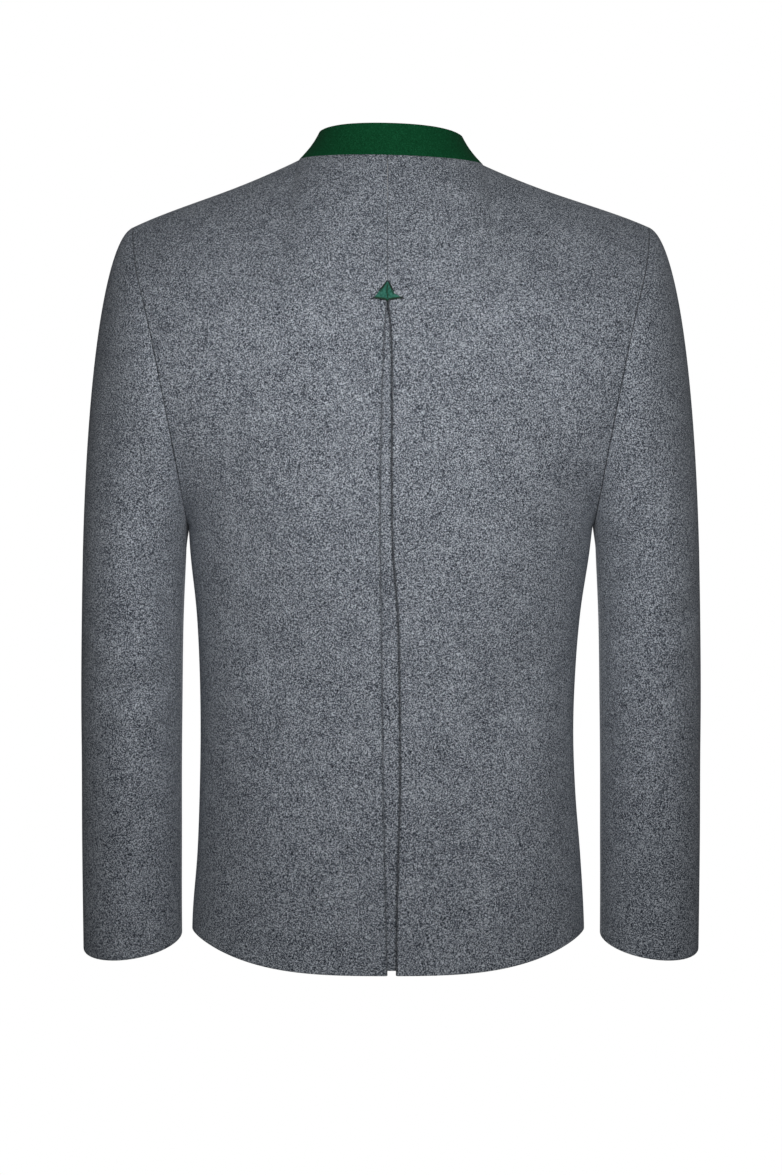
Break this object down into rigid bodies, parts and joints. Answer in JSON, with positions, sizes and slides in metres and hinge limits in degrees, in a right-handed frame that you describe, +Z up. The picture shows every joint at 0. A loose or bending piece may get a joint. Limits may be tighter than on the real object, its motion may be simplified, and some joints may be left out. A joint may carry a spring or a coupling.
{
  "type": "tyrolean loden jacket",
  "caption": "Grey melange loden jacket in its worn, filled-out form, with a green stand collar, a green arrow at the head of an inverted centre back pleat, plain sleeves and a buttoned front.",
  "frame": {"origin": "middle of the neck opening, level with the tops of the shoulders beside the neck, where the wearer carries the jacket", "axes": "+Z up the wearer, +X to the wearer's left, +Y to the wearer's back"},
  "size_m": [0.5498, 0.2565, 0.7392],
  "materials": {
    "grey_loden": "milled melange wool, matt with a short nap",
    "green_felt": "dense dark green wool felt, matt",
    "arrow_green": "teal green wool, stitched round the edge",
    "horn": "polished brown horn"
  },
  "bodies": {
    "root": {"back_left": "grey_loden", "back_right": "grey_loden", "pleat_underlay": "grey_loden", "front_left": "grey_loden", "front_right": "grey_loden", "top_sleeve_left": "grey_loden", "top_sleeve_right": "grey_loden", "under_sleeve_left": "grey_loden", "under_sleeve_right": "grey_loden", "collar": "green_felt", "pleat_arrow": "arrow_green", "button_1": "horn", "button_2": "horn", "button_3": "horn", "button_4": "horn", "button_5": "horn"}
  },
  "joints": []
}
